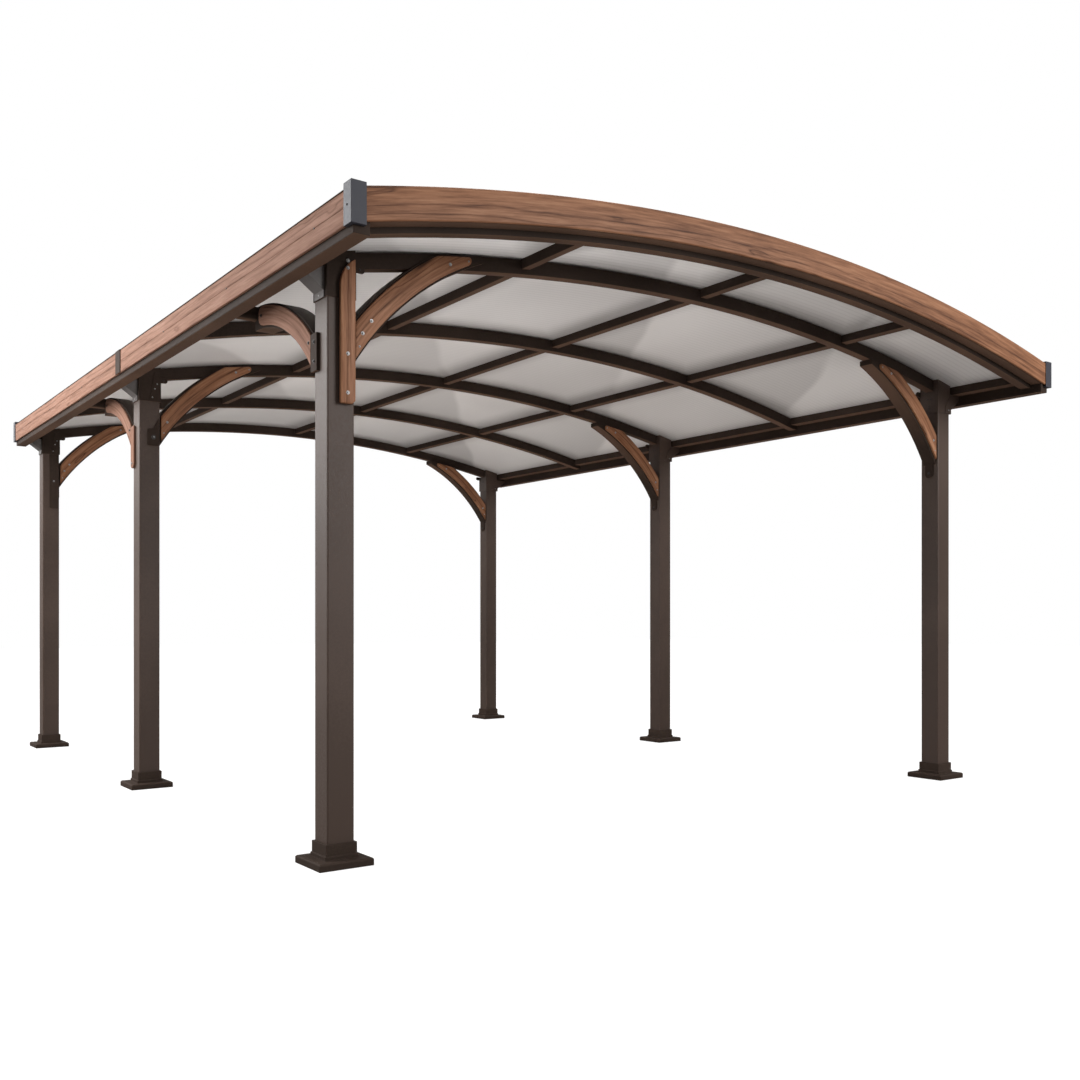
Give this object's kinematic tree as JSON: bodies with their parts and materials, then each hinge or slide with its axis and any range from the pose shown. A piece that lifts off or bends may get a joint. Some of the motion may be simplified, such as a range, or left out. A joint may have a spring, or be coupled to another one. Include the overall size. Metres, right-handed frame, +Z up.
{
  "type": "carport",
  "caption": "Open-sided carport: an arched translucent roof on ribs and purlins, wood-look fascias, square posts on flange plates and curved knee braces.",
  "frame": {"origin": "centre of the roof's plan at floor level", "axes": "+X across the arch to the right as seen from the front, +Y from the front to the back, +Z up"},
  "size_m": [4.058, 5.159, 2.4498],
  "materials": {
    "brown_steel": "dark brown powder coat, satin",
    "wood_look_board": "wood-look board, satin",
    "grey_cap": "blue-grey powder coat, satin",
    "grey_strap": "dark grey powder coat, satin",
    "twin_wall_sheet": "translucent grey twin-wall sheet"
  },
  "bodies": {
    "root": {"front_left_post": "brown_steel", "middle_left_post": "brown_steel", "back_left_post": "brown_steel", "front_right_post": "brown_steel", "middle_right_post": "brown_steel", "back_right_post": "brown_steel", "left_bases": "brown_steel", "right_bases": "brown_steel", "left_post_heads": "brown_steel", "right_post_heads": "brown_steel", "left_head_plates": "brown_steel", "right_head_plates": "brown_steel", "left_eave_beam": "brown_steel", "right_eave_beam": "brown_steel", "front_channel": "brown_steel", "back_channel": "brown_steel", "front_rib": "brown_steel", "front_post_rib": "brown_steel", "front_bay_rib": "brown_steel", "middle_post_rib": "brown_steel", "back_bay_rib": "brown_steel", "back_post_rib": "brown_steel", "left_purlins": "brown_steel", "crown_purlins": "brown_steel", "right_purlins": "brown_steel", "sheet_joint_bars": "brown_steel", "left_braces": "brown_steel", "right_braces": "brown_steel", "left_side_braces": "brown_steel", "left_batten_backs": "brown_steel", "middle_left_foot_plate": "brown_steel", "right_eave_brackets": "brown_steel", "left_fascia": "wood_look_board", "right_fascia": "wood_look_board", "front_fascia": "wood_look_board", "back_fascia": "wood_look_board", "left_brace_boards": "wood_look_board", "right_brace_boards": "wood_look_board", "left_side_brace_boards": "wood_look_board", "front_left_batten": "wood_look_board", "corner_caps": "grey_cap", "left_eave_brackets": "grey_strap", "fascia_joint_strips": "grey_strap", "roof_sheet_1": "twin_wall_sheet", "roof_sheet_2": "twin_wall_sheet", "roof_sheet_3": "twin_wall_sheet", "roof_sheet_4": "twin_wall_sheet", "roof_sheet_5": "twin_wall_sheet"}
  },
  "joints": []
}
